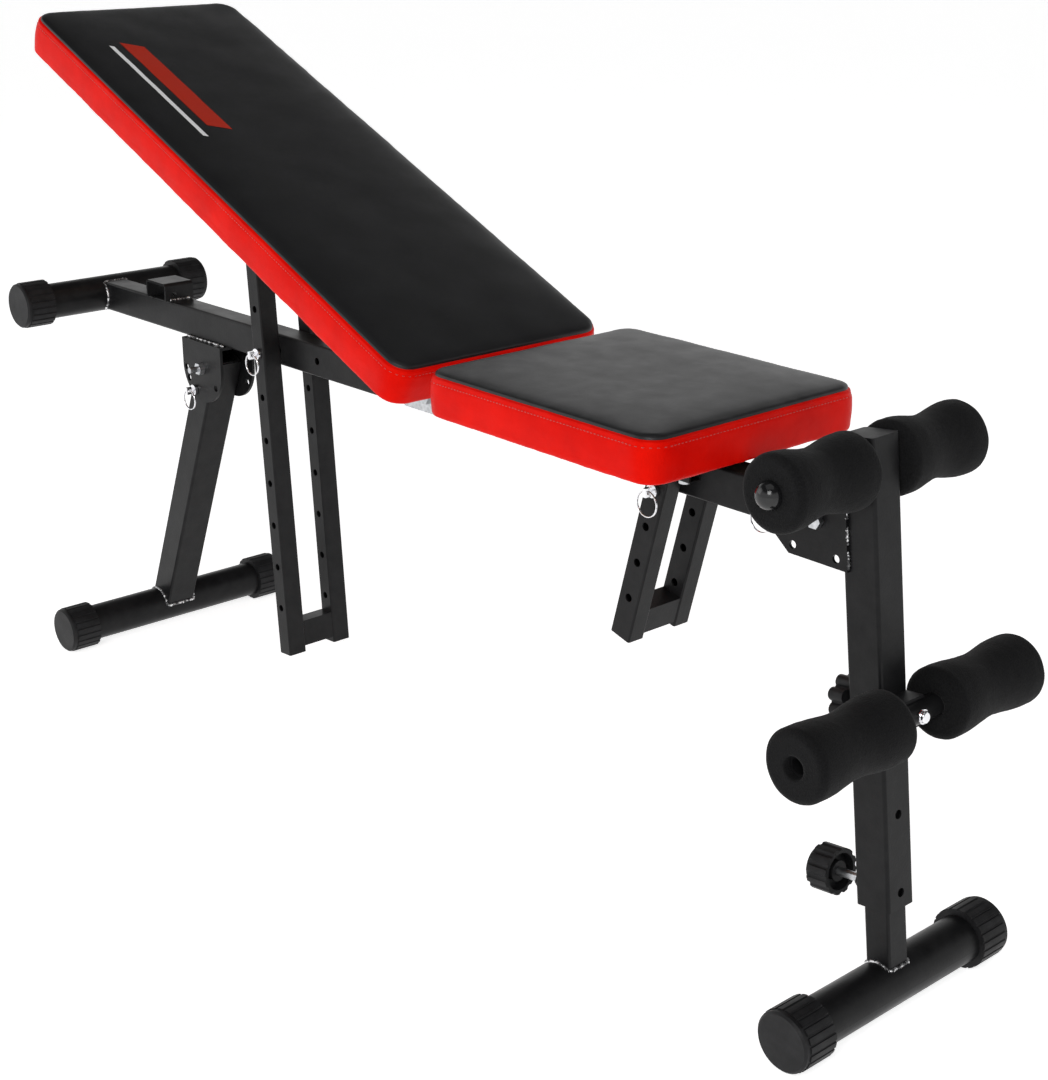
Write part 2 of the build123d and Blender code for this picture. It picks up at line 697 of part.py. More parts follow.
def screw_spots(rail, rail_centre):
    return [(x, y) for x in (rail[0] + 30, rail[1] - 12) for y in (-rail_centre, rail_centre)]


def board(plane, start, length, bottom, rail):
    centre = start + length / 2
    shape = RectangleRounded(
        length - 2 * BOARD_INSET, PAD_WIDTH - 2 * BOARD_INSET, PAD_CORNER - BOARD_INSET
    )
    sheet = extrude(plane.offset(bottom) * Pos(centre, 0) * shape, amount=BOARD_THICK)
    for x, y in screw_spots(rail, RAIL_INNER + RAIL_WIDTH / 2):
        sheet -= plane.location * Pos(x, y, bottom) * Cylinder(2.6, 16)
    return sheet


def screws(plane, bottom, rail):
    """Screws up through the rails into the board."""
    under = bottom - RAIL_DEPTH
    group = []
    for x, y in screw_spots(rail, RAIL_INNER + RAIL_WIDTH / 2):
        shank = Pos(x, y, under + 14) * Cylinder(2.4, 28)
        head = Pos(x, y, under - 1.5) * Cylinder(5.5, 3)
        group.append(plane.location * (shank + head))
    return Compound(group)


def pad_rail(plane, bottom, rail, ladder_at, lug, lug_y, side):
    """One rail with its hinge lug; the lug's eye is on the hinge rod."""
    middle = side * (RAIL_INNER + RAIL_WIDTH / 2)
    centre_z = bottom - RAIL_DEPTH / 2
    start = in_side_view(plane, rail[0], centre_z)
    section = side_plane(start, (plane.x_dir.X, plane.x_dir.Z), middle)
    body = tube(section, RAIL_WIDTH, RAIL_DEPTH, RAIL_WALL, 0, rail[1] - rail[0], 2.0)
    low, high = sorted((side * lug_y, side * (lug_y + LUG_SHEET)))
    points = [in_side_view(plane, x, z) for x, z in lug]
    ear = across(points, low, high) + rod(PAD_HINGE, HINGE_EYE_R - 0.5, low, high)
    ear -= rod(PAD_HINGE, HINGE_ROD_R + RUNNING, low - 1, high + 1)
    body += ear
    pivot = in_side_view(plane, ladder_at, centre_z)
    body -= rod(pivot, PIN_R + EASY / 2, -80, 80)
    for x, y in screw_spots(rail, RAIL_INNER + RAIL_WIDTH / 2):
        body -= plane.location * Pos(x, y, centre_z) * Cylinder(2.6, 2 * RAIL_DEPTH)
    return body


def cross_bars(plane, bottom, stations):
    """Flat bars between the rails, against the board."""
    inner = RAIL_INNER
    bars = [box_in(plane, (x - 12, x + 12), (-inner, inner), (bottom - 4, bottom)) for x in stations]
    return Compound(bars)


EYE = HINGE_EYE_R - 0.5
BACK_LUG = [(-EYE, 0), (-EYE, -39), (62, -39), (62, -25.4), (EYE, -25.4), (EYE, 0)]
SEAT_LUG = [(-EYE, 0), (-EYE, -22), (65, -22), (65, -8), (EYE, -8), (EYE, 0)]

PADS = (
    ("backrest", BACK, BACK_START, BACK_LENGTH, BACK_BOTTOM, BACK_THICK, BACK_RAIL, BACK_CROSS,
     BACK_LADDER_AT, BACK_LUG, RAIL_INNER),
    ("seat", SEAT, SEAT_START, SEAT_LENGTH, SEAT_BOTTOM, SEAT_THICK, SEAT_RAIL, SEAT_CROSS,
     SEAT_LADDER_AT, SEAT_LUG, RAIL_INNER + RAIL_WIDTH - LUG_SHEET),
)
for name, plane, start, length, bottom, thick, rail, cross, ladder_at, lug, lug_y in PADS:
    nodes[f"{name}_pad"] = pad(plane, start, length, bottom, thick)
    nodes[f"{name}_board"] = board(plane, start, length, bottom, rail)
    nodes[f"{name}_rail_near"] = pad_rail(plane, bottom, rail, ladder_at, lug, lug_y, -1)
    nodes[f"{name}_rail_far"] = pad_rail(plane, bottom, rail, ladder_at, lug, lug_y, 1)
    nodes[f"{name}_cross_bars"] = cross_bars(plane, bottom, cross)
    nodes[f"{name}_screws"] = screws(plane, bottom, rail)
nodes["backrest_ladder_pin"] = headed_pin(BACK_LADDER_PIVOT, PIN_R, RAIL_INNER + RAIL_WIDTH, 6.5)
nodes["seat_ladder_pin"] = headed_pin(SEAT_LADDER_PIVOT, PIN_R, RAIL_INNER + RAIL_WIDTH, 6.5)


# ---- ladders -----------------------------------------------------------------
def ladder_rail(pivot, direction, width, depth, length, hole_distances, top, top_bevel):
    """Rail with a closed foot and a row of holes, hung from its pivot."""
    middle = LADDER_INNER + width / 2
    plane = side_plane(pivot, direction, middle)
    body = extrude(plane.offset(-top) * RectangleRounded(width, depth, 2.0), amount=length + top)
    half = depth / 2
    profile = [
        (-top, top_bevel - half),
        (-top, half - top_bevel),
        (top_bevel - top, half),
        (length, half),
        (length, -half),
        (top_bevel - top, -half),
    ]
    outline = [
        (pivot[0] + direction[0] * along - direction[1] * aside,
         pivot[1] + direction[1] * along + direction[0] * aside)
        for along, aside in profile
    ]
    body &= across(outline, LADDER_INNER, LADDER_INNER + width)
    hollow = RectangleRounded(width - 2 * LADDER_WALL, depth - 2 * LADDER_WALL, 0.5)
    body -= extrude(plane.offset(14) * hollow, amount=length - 14 - LADDER_WALL)
    outer = LADDER_INNER + width
    body -= rod(pivot, PIN_R + RUNNING, LADDER_INNER - 1, outer + 1)
    for distance in hole_distances:
        hole = unit_point(pivot, direction, distance)
        body -= rod(hole, LADDER_HOLE_R + RUNNING, LADDER_INNER - 1, outer + 1)
    return body


def ladder_cross(pivot, direction, depth, span):
    """Piece of tube welded between the rails near their feet."""
    low, high = span
    plane = side_plane(pivot, direction)
    inner = LADDER_INNER
    outside = box_in(plane, (-inner, inner), (-depth / 2, depth / 2), (low, high))
    wall = LADDER_WALL
    hollow = box_in(
        plane, (-inner - 1, inner + 1), (wall - depth / 2, depth / 2 - wall), (low + wall, high - wall)
    )
    return outside - hollow


back_holes = [BACK_LADDER_PINNED + BACK_LADDER_PITCH * k for k in BACK_LADDER_HOLES]
back_rail = ladder_rail(
    BACK_LADDER_PIVOT, BACK_LADDER_DIRECTION, BACK_LADDER_WIDTH, BACK_LADDER_DEPTH,
    BACK_LADDER_LENGTH, back_holes, 9.0, 4.5,
)
seat_holes = [SEAT_LADDER_PINNED + SEAT_LADDER_PITCH * k for k in SEAT_LADDER_HOLES]
seat_rail = ladder_rail(
    SEAT_LADDER_PIVOT, SEAT_LADDER_DIRECTION, SEAT_LADDER_WIDTH, SEAT_LADDER_DEPTH,
    SEAT_LADDER_LENGTH, seat_holes, 7.5, 4.0,
)
nodes["backrest_ladder_rails"] = pair(back_rail)
nodes["backrest_ladder_cross"] = ladder_cross(
    BACK_LADDER_PIVOT, BACK_LADDER_DIRECTION, BACK_LADDER_DEPTH - 2, BACK_LADDER_CROSS
)
nodes["seat_ladder_rails"] = pair(seat_rail)
nodes["seat_ladder_cross"] = ladder_cross(
    SEAT_LADDER_PIVOT, SEAT_LADDER_DIRECTION, SEAT_LADDER_DEPTH - 2, SEAT_LADDER_CROSS
)

# ---- pull pins and their rings -----------------------------------------------
PULL_PINS = (
    ("backrest_lock", BACK_LOCK, -LADDER_INNER - BACK_LADDER_WIDTH, -LADDER_INNER - 0.6),
    ("seat_lock", SEAT_LOCK, -LADDER_INNER - SEAT_LADDER_WIDTH, -LADDER_INNER - 0.6),
    ("post_lock", POST_PIN, -POST_WIDTH / 2 - GUSSET_SHEET, -POST_WIDTH / 2 - 0.2),
    ("leg_lock", LEG_PIN, -EAR_INNER - EAR_SHEET, -EAR_INNER - 0.1),
)
for name, point, outer_face, tip in PULL_PINS:
    nodes[f"{name}_pin"] = pull_pin(point, outer_face, tip)
    nodes[f"{name}_ring"] = pin_ring(point, outer_face)

for name, shape in nodes.items():
    export_step(shape, f"parts/{name}.step")
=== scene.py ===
import json
import math
import random

import bmesh
import bpy
import numpy as np
from mathutils import Matrix, Vector, noise
from mathutils.bvhtree import BVHTree


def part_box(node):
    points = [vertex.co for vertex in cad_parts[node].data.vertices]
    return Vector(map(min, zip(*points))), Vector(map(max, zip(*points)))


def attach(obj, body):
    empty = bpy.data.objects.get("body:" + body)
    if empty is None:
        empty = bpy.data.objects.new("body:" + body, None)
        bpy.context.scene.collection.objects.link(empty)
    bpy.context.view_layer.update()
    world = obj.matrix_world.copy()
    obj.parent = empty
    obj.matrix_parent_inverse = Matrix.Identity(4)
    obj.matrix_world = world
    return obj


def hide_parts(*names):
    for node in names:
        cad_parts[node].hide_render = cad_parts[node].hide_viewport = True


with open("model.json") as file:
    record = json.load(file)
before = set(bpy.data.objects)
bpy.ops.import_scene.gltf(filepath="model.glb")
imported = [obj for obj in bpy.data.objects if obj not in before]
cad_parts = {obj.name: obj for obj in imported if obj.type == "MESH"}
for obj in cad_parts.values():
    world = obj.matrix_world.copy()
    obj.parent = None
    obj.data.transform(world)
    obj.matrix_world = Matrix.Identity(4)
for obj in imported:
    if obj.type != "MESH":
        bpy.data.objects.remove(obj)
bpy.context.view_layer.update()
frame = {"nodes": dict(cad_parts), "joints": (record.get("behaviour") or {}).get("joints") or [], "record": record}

MM = 0.001
JOINTS = {joint["name"]: joint for joint in frame["joints"]}

# ---- pads: driving dimensions, lengths in metres ----------------------------
BACK_ANGLE = math.radians(23.3)
PAD_HALF_WIDTH = 135 * MM
PAD_CORNER = 24 * MM
BACK_START, BACK_LENGTH, BACK_BOTTOM, BACK_THICK = (v * MM for v in (21.0, 738, -21.4, 39))
SEAT_START, SEAT_LENGTH, SEAT_BOTTOM, SEAT_THICK = (v * MM for v in (21, 302, -4, 38))
EDGE_INSET = 9 * MM          # the crown starts to roll over here
CELL = 10 * MM
WRAP = 18 * MM               # how far the cover is folded under the board
STITCH_DROP = 6 * MM         # from the seam down the side, along the surface
STITCH_PITCH = 4.2 * MM
STAPLE_PITCH = 27 * MM
SWELL = 4.5 * MM             # most that the cloth may move while it swells
CROWN = 4 * MM               # how far the middle of the cover stands above its edge
CORNER_CELLS = 4
PRESSURE = 4.0
SWELL_FRAMES = 20

# ---- foam rollers ------------------------------------------------------------
FOAM_EDGE = 7 * MM           # radius of the rounded rim
RIM_STEPS = 6
FOAM_AROUND = 72
FOAM_ALONG = 44


def pivot(joint):
    return Vector(JOINTS[joint]["pos_m"])


def new_object(name, mesh, material, body, smooth=True):
    piece = bpy.data.objects.new(name, mesh)
    bpy.context.scene.collection.objects.link(piece)
    if material is not None:
        mesh.materials.append(material)
    if smooth:
        mesh.polygons.foreach_set("use_smooth", [True] * len(mesh.polygons))
    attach(piece, body)
    return piece


def mesh_from(name, points, faces):
    mesh = bpy.data.meshes.new(name)
    mesh.from_pydata([tuple(p) for p in points], [], faces)
    mesh.validate()
    mesh.update()
    return mesh


def facing_out(mesh):
    work = bmesh.new()
    work.from_mesh(mesh)
    bmesh.ops.recalc_face_normals(work, faces=work.faces)
    work.to_mesh(mesh)
    work.free()


# ---- materials ---------------------------------------------------------------
def shader(name, color, roughness, metallic=0.0, specular=0.5):
    material = bpy.data.materials.new(name)
    material.use_nodes = True
    tree = material.node_tree
    surface = tree.nodes["Principled BSDF"]
    surface.inputs["Base Color"].default_value = (*color, 1)
    surface.inputs["Roughness"].default_value = roughness
    surface.inputs["Metallic"].default_value = metallic
    surface.inputs["Specular IOR Level"].default_value = specular
    material.diffuse_color = (*color, 1)
    return material, tree, surface


def place(tree, stretch=(1, 1, 1)):
    """Object space coordinates in metres, stretched along an axis if asked."""
    where = tree.nodes.new("ShaderNodeTexCoord")
    mapping = tree.nodes.new("ShaderNodeMapping")
    mapping.inputs["Scale"].default_value = stretch
    tree.links.new(where.outputs["Object"], mapping.inputs["Vector"])
    return mapping.outputs["Vector"]


def grain(tree, vector, scale, detail=3.0, roughness=0.55, distortion=0.0):
    texture = tree.nodes.new("ShaderNodeTexNoise")
    texture.inputs["Scale"].default_value = scale
    texture.inputs["Detail"].default_value = detail
    texture.inputs["Roughness"].default_value = roughness
    texture.inputs["Distortion"].default_value = distortion
    tree.links.new(vector, texture.inputs["Vector"])
    return texture.outputs["Fac"]


def cells(tree, vector, scale, feature="DISTANCE_TO_EDGE"):
    texture = tree.nodes.new("ShaderNodeTexVoronoi")
    texture.feature = feature
    texture.inputs["Scale"].default_value = scale
    tree.links.new(vector, texture.inputs["Vector"])
    return texture.outputs["Distance"]


def ramp(tree, value, low, high, at=(0.0, 1.0)):
    """Maps a 0 to 1 value onto a range of numbers or colours."""
    node = tree.nodes.new("ShaderNodeValToRGB")
    stops = node.color_ramp.elements
    stops[0].position, stops[1].position = at
    for stop, value_there in zip(stops, (low, high)):
        shade = value_there if isinstance(value_there, tuple) else (value_there,) * 3
        stop.color = (*shade, 1)
    tree.links.new(value, node.inputs["Fac"])
    return node.outputs["Color"]


def bumps(tree, surface, *layers):
    """Chains bump layers: (height, strength, depth in metres)."""
    last = None
    for height, strength, depth in layers:
        bump = tree.nodes.new("ShaderNodeBump")
        bump.inputs["Strength"].default_value = strength
        bump.inputs["Distance"].default_value = depth
        tree.links.new(height, bump.inputs["Height"])
        if last is not None:
            tree.links.new(last, bump.inputs["Normal"])
        last = bump.outputs["Normal"]
    tree.links.new(last, surface.inputs["Normal"])


def black_paint():
    """Satin stove enamel: faint orange peel, hazier patches, a little dust."""
    material, tree, surface = shader("black_paint", (0.008, 0.008, 0.0085), 0.36, specular=0.14)
    where = place(tree)
    patches = grain(tree, where, 16, 4, 0.6)
    tree.links.new(ramp(tree, patches, 0.28, 0.44, (0.3, 0.7)), surface.inputs["Roughness"])
    dust = grain(tree, where, 55, 5, 0.65)
    tint = ramp(tree, dust, (0.005, 0.005, 0.0055), (0.011, 0.011, 0.0115), (0.3, 0.75))
    tree.links.new(tint, surface.inputs["Base Color"])
    bumps(
        tree, surface,
        (grain(tree, where, 420, 2), 0.22, 0.4 * MM),
        (grain(tree, where, 2400, 2), 0.1, 0.1 * MM),
    )
    return material


def black_plastic():
    """Moulded plastic with a fine spark eroded grain."""
    material, tree, surface = shader("black_plastic", (0.009, 0.009, 0.0095), 0.5, specular=0.18)
    where = place(tree)
    haze = grain(tree, where, 30, 4)
    tree.links.new(ramp(tree, haze, 0.42, 0.58, (0.3, 0.7)), surface.inputs["Roughness"])
    mottle = grain(tree, where, 90, 4)
    tint = ramp(tree, mottle, (0.006, 0.006, 0.0065), (0.013, 0.013, 0.014), (0.3, 0.7))
    tree.links.new(tint, surface.inputs["Base Color"])
    bumps(
        tree, surface,
        (cells(tree, where, 1500, "F1"), 0.35, 0.15 * MM),
        (grain(tree, where, 260, 2), 0.12, 0.3 * MM),
    )
    return material


def gloss_plastic():
    """Polished plastic of the ball ends, with slight handling haze."""
    material, tree, surface = shader("gloss_plastic", (0.006, 0.006, 0.0065), 0.16, specular=0.45)
    where = place(tree)
    haze = grain(tree, where, 70, 4)
    tree.links.new(ramp(tree, haze, 0.12, 0.24, (0.35, 0.7)), surface.inputs["Roughness"])
    bumps(tree, surface, (grain(tree, where, 700, 2), 0.08, 0.15 * MM))
    return material


def chrome():
    """Bright plate with hairline scratches and slight haze."""
    material, tree, surface = shader("chrome", (0.78, 0.78, 0.8), 0.14, 1.0)
    where = place(tree)
    haze = grain(tree, where, 120, 5, 0.7)
    tree.links.new(ramp(tree, haze, 0.08, 0.24, (0.35, 0.75)), surface.inputs["Roughness"])
    bumps(tree, surface, (grain(tree, place(tree, (1, 1, 9)), 900, 3), 0.1, 0.1 * MM))
    return material


def zinc():
    """Passivated zinc: faint spangle and uneven sheen."""
    material, tree, surface = shader("zinc", (0.5, 0.51, 0.53), 0.34, 1.0)
    where = place(tree)
    spangle = cells(tree, where, 260, "F1")
    tint = ramp(tree, spangle, (0.36, 0.37, 0.38), (0.58, 0.59, 0.61))
    tree.links.new(tint, surface.inputs["Base Color"])
    sheen = grain(tree, where, 90, 5)
    tree.links.new(ramp(tree, sheen, 0.26, 0.45, (0.3, 0.7)), surface.inputs["Roughness"])
    bumps(tree, surface, (grain(tree, where, 1300, 3), 0.15, 0.12 * MM))
    return material


def foam():
    """Closed cell foam: matte, finely pitted, with a faint mottle."""
    material, tree, surface = shader("foam", (0.007, 0.007, 0.0075), 0.92, specular=0.12)
    where = place(tree)
    mottle = grain(tree, where, 900, 4, 0.7)
    tint = ramp(tree, mottle, (0.002, 0.002, 0.0022), (0.009, 0.009, 0.0095), (0.34, 0.68))
    tree.links.new(tint, surface.inputs["Base Color"])
    surface.inputs["Sheen Weight"].default_value = 0.04
    surface.inputs["Sheen Roughness"].default_value = 0.45
    bumps(
        tree, surface,
        (cells(tree, where, 850, "F1"), 0.7, 0.5 * MM),
        (grain(tree, where, 1900, 3, 0.7), 0.6, 0.3 * MM),
        (grain(tree, where, 120, 3), 0.25, 0.8 * MM),
    )
    return material


def vinyl(name, dark, light, roughness, creases, specular, tint_of_gloss):
    """Grained vinyl cover: pebble cells, fine creases and a soft sheen."""
    material, tree, surface = shader(name, light, roughness, specular=specular)
    surface.inputs["Specular Tint"].default_value = (*tint_of_gloss, 1)
    where = place(tree)
    tint = ramp(tree, grain(tree, where, 24, 5, 0.6), dark, light, (0.3, 0.72))
    tree.links.new(tint, surface.inputs["Base Color"])
    hazy = ramp(tree, grain(tree, where, 45, 4), roughness - 0.02, roughness + 0.04, (0.3, 0.7))
    tree.links.new(hazy, surface.inputs["Roughness"])
    bumps(
        tree, surface,
        (cells(tree, where, 900), 0.35, 0.25 * MM),
        (grain(tree, where, 2600, 2), 0.12, 0.08 * MM),
        (grain(tree, place(tree, (0.35, 1, 1)), 170, 5, 0.65, 0.6), creases, 0.5 * MM),
    )
    return material


def thread(name, color):
    """Sewing thread with the slanted bands of its twist."""
    material, tree, surface = shader(name, color, 0.6)
    twist = tree.nodes.new("ShaderNodeTexWave")
    twist.inputs["Scale"].default_value = 700
    twist.inputs["Distortion"].default_value = 1.5
    tree.links.new(place(tree, (1, 1, 0.6)), twist.inputs["Vector"])
    bumps(tree, surface, (twist.outputs["Fac"], 0.6, 0.15 * MM))
    surface.inputs["Sheen Weight"].default_value = 0.3
    return material


def ink(name, color):
    """Screen print: matte, a little worn where the grain stands up."""
    material, tree, surface = shader(name, color, 0.6, specular=0.2)
    worn = grain(tree, place(tree), 1400, 3, 0.7)
    faded = tuple(0.55 * c for c in color)
    tree.links.new(ramp(tree, worn, faded, color, (0.3, 0.5)), surface.inputs["Base Color"])
    bumps(tree, surface, (cells(tree, place(tree), 900), 0.3, 0.2 * MM))
    return material


def plywood():
    """Rotary cut face veneer with long wavy grain."""
    material, tree, surface = shader("plywood", (0.5, 0.36, 0.21), 0.62)
    where = place(tree, (1, 7, 7))
    rings = grain(tree, where, 9, 6, 0.6, 1.2)
    tree.links.new(
        ramp(tree, rings, (0.36, 0.23, 0.12), (0.6, 0.45, 0.28), (0.35, 0.65)),
        surface.inputs["Base Color"],
    )
    bumps(tree, surface, (grain(tree, place(tree, (1, 14, 14)), 60, 4), 0.3, 0.3 * MM))
    return material


def weld_metal():
    """Painted weld bead where the enamel is thin and bare steel glints."""
    material, tree, surface = shader("weld_metal", (0.05, 0.05, 0.05), 0.35)
    where = place(tree)
    worn = grain(tree, where, 230, 4, 0.7)
    bare = ramp(tree, worn, 0.0, 1.0, (0.5, 0.56))
    tree.links.new(bare, surface.inputs["Metallic"])
    tint = ramp(tree, worn, (0.02, 0.02, 0.022), (0.75, 0.75, 0.76), (0.5, 0.56))
    tree.links.new(tint, surface.inputs["Base Color"])
    bumps(tree, surface, (grain(tree, where, 1500, 3), 0.4, 0.25 * MM))
    return material


def pale_floor():
    """Pale studio floor that glows a little, so that its far edge meets the backdrop."""
    material, tree, surface = shader("pale_floor", (0.86, 0.86, 0.86), 0.75, specular=0.2)
    tint = ramp(tree, grain(tree, place(tree), 3, 3), (0.85, 0.85, 0.85), (0.88, 0.88, 0.88))
    tree.links.new(tint, surface.inputs["Base Color"])
    surface.inputs["Emission Color"].default_value = (1, 1, 1, 1)
    surface.inputs["Emission Strength"].default_value = 0.72
    return material


PAINT = black_paint()
PLASTIC = black_plastic()
GLOSS = gloss_plastic()
CHROME = chrome()
ZINC = zinc()
FOAM = foam()
TOP_VINYL = vinyl(
    "black_vinyl", (0.005, 0.005, 0.0055), (0.008, 0.008, 0.009), 0.4, 0.12, 0.34, (1, 1, 1)
)
SIDE_VINYL = vinyl(
    "red_vinyl", (0.54, 0.002, 0.0008), (0.68, 0.004, 0.001), 0.4, 0.6, 0.07, (1, 0.45, 0.25)
)
RED_THREAD = thread("red_thread", (0.42, 0.006, 0.002))
RED_INK = ink("red_ink", (0.42, 0.02, 0.006))
WHITE_INK = ink("white_ink", (0.75, 0.75, 0.75))
WOOD = plywood()
WELD = weld_metal()

LOOKS = {
    "black_paint": PAINT,
    "black_plastic": PLASTIC,
    "gloss_cap": GLOSS,
    "zinc": ZINC,
    "chrome": CHROME,
    "black_foam": FOAM,
    "pad_vinyl": TOP_VINYL,
    "plywood": WOOD,
}


def dress_frame():
    """Gives every carried over node the procedural material of its slot."""
    for part in frame["record"]["subparts"]:
        node = frame["nodes"][part["node"]]
        node.data.materials.clear()
        node.data.materials.append(LOOKS[part["material_slot"]])


# ---- pads --------------------------------------------------------------------
def pad_axes(rear):
    """Matrix from a pad's own axes (away from the hinge, across, up) to the bench's frame."""
    hinge = pivot("backrest_tilt")
    if rear:
        along = Vector((-math.cos(BACK_ANGLE), 0, math.sin(BACK_ANGLE)))
        up = Vector((math.sin(BACK_ANGLE), 0, math.cos(BACK_ANGLE)))
    else:
        along = Vector((1, 0, 0))
        up = Vector((0, 0, 1))
    across = up.cross(along)
    matrix = Matrix((along, across, up)).transposed().to_4x4()
    matrix.translation = hinge
    return matrix


def grid_lines(half, corner):
    """Grid positions from -half to half: a few cells in each corner, even cells between."""
    inner = half - corner
    cell_count = max(2, round(2 * inner / CELL))
    middle = [-inner + 2 * inner * i / cell_count for i in range(cell_count + 1)]
    edge = [inner + corner * k / CORNER_CELLS for k in range(1, CORNER_CELLS + 1)]
    return [-v for v in reversed(edge)] + middle + edge


def rounded(x, y, half_x, half_y, corner):
    """Maps a point of the rectangle to the rectangle with round corners."""
    dx, dy = abs(x) - (half_x - corner), abs(y) - (half_y - corner)
    if dx <= 0 or dy <= 0:
        return x, y
    shrink = max(dx, dy) / math.hypot(dx, dy)
    return (
        math.copysign(half_x - corner + dx * shrink, x),
        math.copysign(half_y - corner + dy * shrink, y),
    )


def side_profile(thick):
    """Rows from the crown's edge down and under: (inset, height, distance below the seam)."""
    crown = [(9.0, 1.4), (7.0, 0.9), (5.2, 0.1), (3.9, -1.0)]
    seam = [(3.1, -2.3)]
    band = [
        (2.1, -3.2), (1.2, -4.6), (0.6, -6.4), (0.2, -8.4), (-0.2, -11.0), (-0.5, -15.0), (-0.8, -20.0),
        (-0.7, -25.0), (-0.4, -29.5), (0.0, -34.0),
    ]
    under = [(0.2, -0.2), (0.9, -2.0), (2.4, -3.3), (4.6, -3.5), (5.6, -2.6), (6.6, -0.9), (12.0, -0.9)]
    points = [(inset * MM, thick + down * MM) for inset, down in crown + seam + band]
    points += [(inset * MM, up * MM) for inset, up in under]
    points += [(WRAP, -0.9 * MM), (WRAP + 0.8 * MM, 0.6 * MM)]
    drop = [0.0]
    for before, after in zip(points, points[1:]):
        drop.append(drop[-1] + math.dist(before, after))
    at_seam = drop[len(crown)]
    return [(inset, height, d - at_seam) for (inset, height), d in zip(points, drop)]


def pad_cover(name, length, thick):
    """Closed cover in its own axes: x along, y across, z up from the board's underside."""
    half_x, half_y = length / 2 - EDGE_INSET, PAD_HALF_WIDTH - EDGE_INSET
    corner = PAD_CORNER - EDGE_INSET
    xs, ys = grid_lines(half_x, corner), grid_lines(half_y, corner)
    rows = side_profile(thick)
    points, drops, faces = [], [], []

    def sheet(height_at, inset_more):
        first = len(points)
        shrink_x, shrink_y = 1 - inset_more / half_x, 1 - inset_more / half_y
        for x in xs:
            for y in ys:
                px, py = rounded(x, y, half_x, half_y, corner)
                points.append((px * shrink_x, py * shrink_y, height_at(px / half_x, py / half_y)))
                edge = min(half_x - abs(px), half_y - abs(py))
                if inset_more == 0:
                    drops.append(rows[0][2] - max(edge, 0.0))
                else:
                    drops.append(rows[-1][2] + max(edge, 0.0))
        return first

    def cell(i, j, first):
        return first + i * len(ys) + j

    def crown(u, v):
        rise = (1 - u ** 6) * (1 - v ** 4)
        return rows[0][1] + CROWN * max(rise, 0.0) ** 0.7

    top = sheet(crown, 0.0)
    border = [(i, 0) for i in range(len(xs))]
    border += [(len(xs) - 1, j) for j in range(1, len(ys))]
    border += [(i, len(ys) - 1) for i in range(len(xs) - 2, -1, -1)]
    border += [(0, j) for j in range(len(ys) - 2, 0, -1)]
    for i in range(len(xs) - 1):
        for j in range(len(ys) - 1):
            a, b = cell(i, j, top), cell(i + 1, j, top)
            faces.append((a, b, b + 1, a + 1))

    def outward(point):
        x, y = point[0], point[1]
        core_x, core_y = half_x - corner, half_y - corner
        direction = Vector((x - max(-core_x, min(core_x, x)), y - max(-core_y, min(core_y, y))))
        return direction.normalized()

    ring = [cell(i, j, top) for i, j in border]
    outline = [(points[k], outward(points[k])) for k in ring]
    for inset, height, drop in rows[1:]:
        start = len(points)
        for point, normal in outline:
            move = EDGE_INSET - inset
            points.append((point[0] + normal.x * move, point[1] + normal.y * move, height))
            drops.append(drop)
        count = len(outline)
        for k in range(count):
            after = (k + 1) % count
            faces.append((ring[k], start + k, start + after, ring[after]))
        ring = list(range(start, start + count))
    bottom_inset = rows[-1][0] - EDGE_INSET
    bottom = sheet(lambda u, v: rows[-1][1], bottom_inset)
    low_ring = [cell(i, j, bottom) for i, j in border]
    count = len(ring)
    for k in range(count):
        after = (k + 1) % count
        faces.append((ring[k], low_ring[k], low_ring[after], ring[after]))
    for i in range(len(xs) - 1):
        for j in range(len(ys) - 1):
            a, b = cell(i, j, bottom), cell(i + 1, j, bottom)
            faces.append((a, a + 1, b + 1, b))
    mesh = mesh_from(name, points, faces)
    attribute = mesh.attributes.new("drop", "FLOAT", "POINT")
    attribute.data.foreach_set("value", drops)
    facing_out(mesh)
    return mesh, outline


def swell(piece, held):
    """Cloth pressure lifts the cover like foam does; held points stay put."""
    group = piece.vertex_groups.new(name="held")
    for index, weight in held:
        group.add([index], weight, "REPLACE")
    rest = np.array([v.co for v in piece.data.vertices])
    cloth = piece.modifiers.new("cloth", "CLOTH")
    settings = cloth.settings
    settings.quality = 6
    settings.mass = 0.4
    settings.tension_stiffness = 25
    settings.compression_stiffness = 25
    settings.shear_stiffness = 12
    settings.bending_stiffness = 6
    settings.use_pressure = True
    settings.uniform_pressure_force = PRESSURE
    settings.vertex_group_mass = "held"
    settings.effector_weights.gravity = 0
    scene = bpy.context.scene
    scene.frame_start, scene.frame_end = 1, SWELL_FRAMES
    cloth.point_cache.frame_start, cloth.point_cache.frame_end = 1, SWELL_FRAMES
    for frame_number in range(1, SWELL_FRAMES + 1):
        scene.frame_set(frame_number)
    graph = bpy.context.evaluated_depsgraph_get()
    moved = np.array([v.co for v in piece.evaluated_get(graph).data.vertices])
    piece.modifiers.remove(cloth)
    piece.vertex_groups.clear()
    scene.frame_set(1)
    step = moved - rest
    far = np.linalg.norm(step, axis=1, keepdims=True)
    step *= np.minimum(1.0, SWELL / np.maximum(far, 1e-9))
    piece.data.vertices.foreach_set("co", (rest + step).ravel())
    piece.data.update()


def subdivide(piece):
    modifier = piece.modifiers.new("smooth", "SUBSURF")
    modifier.levels = modifier.render_levels = 1
    graph = bpy.context.evaluated_depsgraph_get()
    finished = piece.evaluated_get(graph)
    mesh = bpy.data.meshes.new_from_object(finished, preserve_all_data_layers=True, depsgraph=graph)
    piece.modifiers.remove(modifier)
    piece.data = mesh
    mesh.polygons.foreach_set("use_smooth", [True] * len(mesh.polygons))


